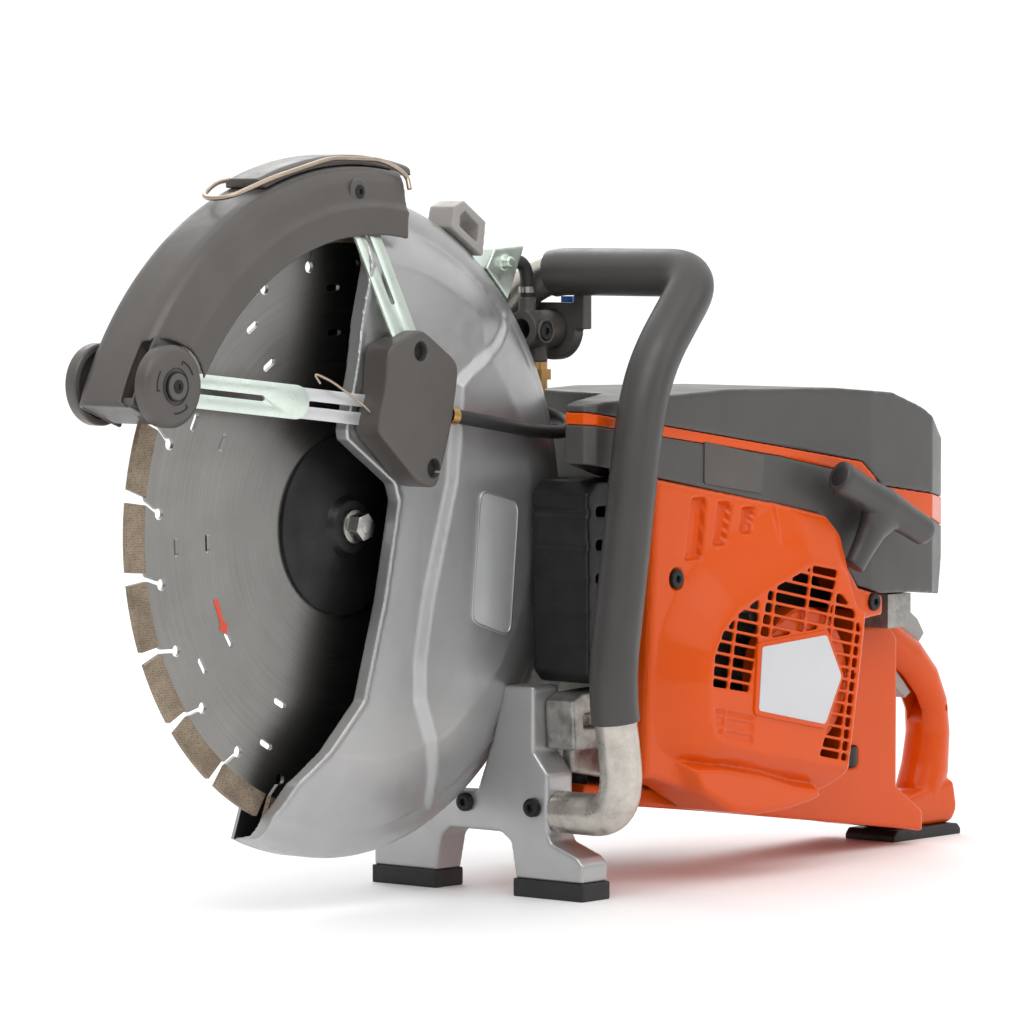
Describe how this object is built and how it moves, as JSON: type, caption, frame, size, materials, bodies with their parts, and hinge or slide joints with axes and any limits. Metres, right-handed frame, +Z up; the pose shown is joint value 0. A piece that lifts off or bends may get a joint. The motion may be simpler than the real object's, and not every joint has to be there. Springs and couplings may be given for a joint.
{
  "type": "concrete cut-off saw",
  "caption": "Hand-held petrol cut-off saw with a large segmented diamond blade, roller front guard, slotted guard links, tubular front handle and a rear D-handle with trigger.",
  "frame": {"origin": "middle of the bounding box on the ground plane the feet stand on", "axes": "+X from the blade towards the rear handle, +Y towards the belt side, +Z up"},
  "size_m": [0.8555, 0.2351, 0.491],
  "materials": {
    "diamond_segment": "sintered, matte",
    "blade_steel": "ground and polished",
    "black_steel": "black, satin",
    "machined_steel": "machined",
    "cast_aluminium": "raw die casting",
    "silver_paint": "silver, satin",
    "dark_plastic": "warm dark grey, fine grain",
    "grip_rubber": "dark grey, matte",
    "black_rubber": "black, matte",
    "orange_plastic": "orange, glossy",
    "grey_plastic": "light grey",
    "zinc_steel": "zinc plated",
    "bare_tube": "drawn tube, satin",
    "brass": "turned",
    "blue_plastic": "blue",
    "red_plastic": "red",
    "spring_wire": "drawn wire",
    "muffler_steel": "heat resistant black",
    "filter_foam": "pleated element",
    "belt_rubber": "ribbed belt"
  },
  "bodies": {
    "machine": {"spindle_bearings": "machined_steel", "cutting_arm": "cast_aluminium", "belt_cover": "dark_plastic", "drive_belt": "belt_rubber", "crankcase": "cast_aluminium", "engine_cylinder": "cast_aluminium", "piston": "machined_steel", "muffler": "muffler_steel", "carburettor": "cast_aluminium", "air_filter": "filter_foam", "water_hose": "black_rubber", "water_valve": "dark_plastic", "inlet_fitting": "brass", "front_handle": "bare_tube", "handle_grip": "grip_rubber", "handle_bracket": "dark_plastic", "stand": "silver_paint", "rubber_mounts": "black_rubber", "body_screws": "black_steel", "starter_cover": "orange_plastic", "top_cover": "dark_plastic", "trim_stripe": "orange_plastic", "side_band": "dark_plastic", "tank_unit": "orange_plastic", "rear_handle": "orange_plastic"},
    "blade": {"blade_core": "blade_steel", "blade_segments": "diamond_segment", "blade_bushing": "machined_steel", "outer_flange": "black_steel", "inner_flange": "black_steel", "arbor_bolt": "machined_steel", "spindle": "machined_steel", "driven_pulley": "cast_aluminium"},
    "clutch_drum": {"drive_pulley": "machined_steel"},
    "crank": {"crankshaft": "machined_steel", "flywheel": "cast_aluminium", "clutch_shoes": "machined_steel"},
    "guard": {"blade_guard": "silver_paint", "guard_handle": "grey_plastic", "guard_clamp": "zinc_steel", "pivot_box": "dark_plastic", "link_spring": "spring_wire"},
    "front_guard": {"front_guard": "dark_plastic", "guard_pad": "dark_plastic", "wire_bail": "spring_wire", "roller_axle": "machined_steel"},
    "roller_left": {"roller_left": "dark_plastic"},
    "roller_right": {"roller_right": "dark_plastic"},
    "upper_link": {"upper_link": "zinc_steel"},
    "lower_link_inner": {"lower_link_inner": "zinc_steel"},
    "lower_link_outer": {"lower_link_outer": "zinc_steel"},
    "valve_lever": {"valve_lever": "blue_plastic"},
    "starter_handle": {"starter_handle": "dark_plastic"},
    "starter_pulley": {"starter_pulley": "dark_plastic"},
    "throttle_trigger": {"throttle_trigger": "grey_plastic"},
    "throttle_lockout": {"throttle_lockout": "grey_plastic"},
    "fuel_cap": {"fuel_cap": "black_rubber"},
    "stop_switch": {"stop_switch": "red_plastic"},
    "choke_knob": {"choke_knob": "blue_plastic"},
    "decompression_button": {"decompression_button": "blue_plastic"}
  },
  "joints": [
    {"name": "blade_spin", "type": "hinge", "parent": "machine", "child": "blade", "pos_m": [-0.2093, 0.0225, 0.25], "axis": [0, 1, 0], "continuous": true},
    {"name": "drum_spin", "type": "hinge", "parent": "machine", "child": "clutch_drum", "pos_m": [0.1357, 0.0925, 0.135], "axis": [0, 1, 0], "continuous": true},
    {"name": "crank_spin", "type": "hinge", "parent": "machine", "child": "crank", "pos_m": [0.1357, 0.0225, 0.135], "axis": [0, 1, 0], "continuous": true},
    {"name": "guard_turn", "type": "hinge", "parent": "machine", "child": "guard", "pos_m": [-0.2093, 0.0225, 0.25], "axis": [0, 1, 0], "range_deg": [-30, 0]},
    {"name": "front_guard_swing", "type": "hinge", "parent": "guard", "child": "front_guard", "pos_m": [-0.2093, 0.0225, 0.25], "axis": [0, 1, 0], "range_deg": [0, 12], "stiffness_Nm_per_rad": 1.5, "springref_deg": -28.65},
    {"name": "roller_left_spin", "type": "hinge", "parent": "front_guard", "child": "roller_left", "pos_m": [-0.3983, -0.0025, 0.346], "axis": [0, 1, 0], "continuous": true},
    {"name": "roller_right_spin", "type": "hinge", "parent": "front_guard", "child": "roller_right", "pos_m": [-0.3983, 0.0585, 0.346], "axis": [0, 1, 0], "continuous": true},
    {"name": "upper_link_swing", "type": "hinge", "parent": "guard", "child": "upper_link", "pos_m": [-0.1933, -0.0235, 0.364], "axis": [0, 1, 0], "range_deg": [-1, 27]},
    {"name": "lower_link_swing", "type": "hinge", "parent": "guard", "child": "lower_link_inner", "pos_m": [-0.2043, -0.0205, 0.324], "axis": [0, 1, 0], "range_deg": [-1, 14]},
    {"name": "lower_link_slide", "type": "slide", "parent": "lower_link_inner", "child": "lower_link_outer", "axis": [0.9805, -0.1617, -0.1112], "range_m": [-0.001, 0.02]},
    {"name": "valve_lever_turn", "type": "hinge", "parent": "machine", "child": "valve_lever", "pos_m": [0.0347, 0.0325, 0.374], "axis": [1, 0, 0], "range_deg": [0, 90]},
    {"name": "starter_pull", "type": "slide", "parent": "machine", "child": "starter_handle", "axis": [0.5211, -0.1403, 0.8419], "range_m": [0, 0.6], "stiffness_N_per_m": 20, "springref_m": -0.15},
    {"name": "starter_pulley_spin", "type": "hinge", "parent": "machine", "child": "starter_pulley", "pos_m": [0.1357, -0.0875, 0.135], "axis": [0, 1, 0], "range_deg": [-5, 910]},
    {"name": "throttle_squeeze", "type": "hinge", "parent": "machine", "child": "throttle_trigger", "pos_m": [0.3437, 0.0025, 0.131], "axis": [0, -1, 0], "range_deg": [0, 9], "stiffness_Nm_per_rad": 0.3, "springref_deg": -11.46},
    {"name": "lockout_press", "type": "hinge", "parent": "machine", "child": "throttle_lockout", "pos_m": [0.3577, 0.0025, 0.16], "axis": [0, 1, 0], "range_deg": [0, 5], "stiffness_Nm_per_rad": 0.5, "springref_deg": -11.46},
    {"name": "fuel_cap_turn", "type": "hinge", "parent": "machine", "child": "fuel_cap", "pos_m": [0.2707, 0.0525, 0.1], "axis": [0, 1, 0], "range_deg": [-120, 0]},
    {"name": "stop_switch_turn", "type": "hinge", "parent": "machine", "child": "stop_switch", "pos_m": [0.3307, -0.0135, 0.16], "axis": [0, 1, 0], "range_deg": [0, 40]},
    {"name": "choke_pull", "type": "slide", "parent": "machine", "child": "choke_knob", "axis": [0, 1, 0], "range_m": [0, 0.012]},
    {"name": "decompression_press", "type": "slide", "parent": "machine", "child": "decompression_button", "axis": [0, 1, 0], "range_m": [-0.004, 0], "stiffness_N_per_m": 400, "springref_m": 0.002}
  ],
  "couplings": [
    {"joint": "drum_spin", "follows": "blade_spin", "ratio": 1.7716},
    {"joint": "upper_link_swing", "follows": "front_guard_swing", "ratio": 2.09},
    {"joint": "lower_link_swing", "follows": "front_guard_swing", "ratio": 1.08},
    {"joint": "lower_link_slide", "follows": "front_guard_swing", "m_per_rad": 0.073},
    {"joint": "starter_pulley_spin", "follows": "starter_pull", "rad_per_m": 25.316}
  ]
}
